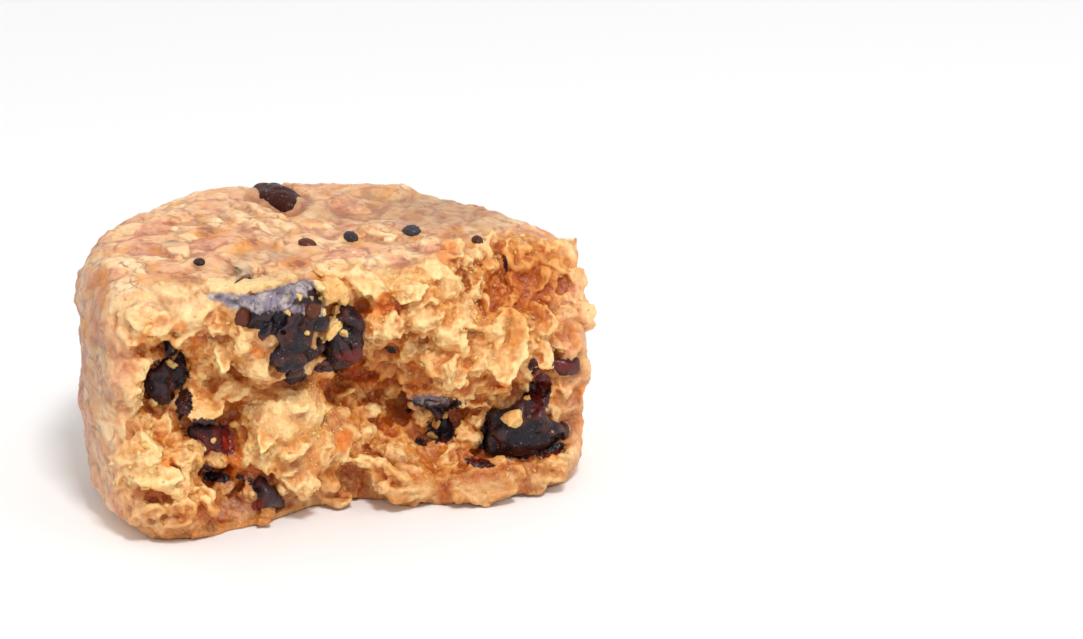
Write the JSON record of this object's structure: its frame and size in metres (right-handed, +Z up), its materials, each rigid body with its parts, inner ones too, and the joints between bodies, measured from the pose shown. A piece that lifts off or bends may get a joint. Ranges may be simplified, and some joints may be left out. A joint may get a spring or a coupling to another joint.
{
  "type": "broken oat trail cookie half",
  "caption": "Half of a thick round oat trail cookie, broken open, with rolled oat flakes, seeds and dark dried fruit, lying on its flat base.",
  "frame": {"origin": "middle of the box of the half cookie, at the flat base it rests on", "axes": "+X along the break, from the left to the right of the broken face seen from in front; -Y points out of the broken face; +Z is up, out of the cookie's top"},
  "size_m": [0.0513, 0.0401, 0.0261],
  "materials": {
    "baked_oat_dough": "matte",
    "dried_fruit": "gloss"
  },
  "bodies": {
    "root": {"cookie_dough": "baked_oat_dough", "fruit_top_edge": "dried_fruit", "fruit_top_edge_small": "dried_fruit", "fruit_left": "dried_fruit", "fruit_low_left": "dried_fruit", "fruit_low_left_small": "dried_fruit", "fruit_right": "dried_fruit", "fruit_middle": "dried_fruit", "fruit_right_small": "dried_fruit", "fruit_top": "dried_fruit", "fruit_back": "dried_fruit", "fruit_side": "dried_fruit"}
  },
  "joints": []
}
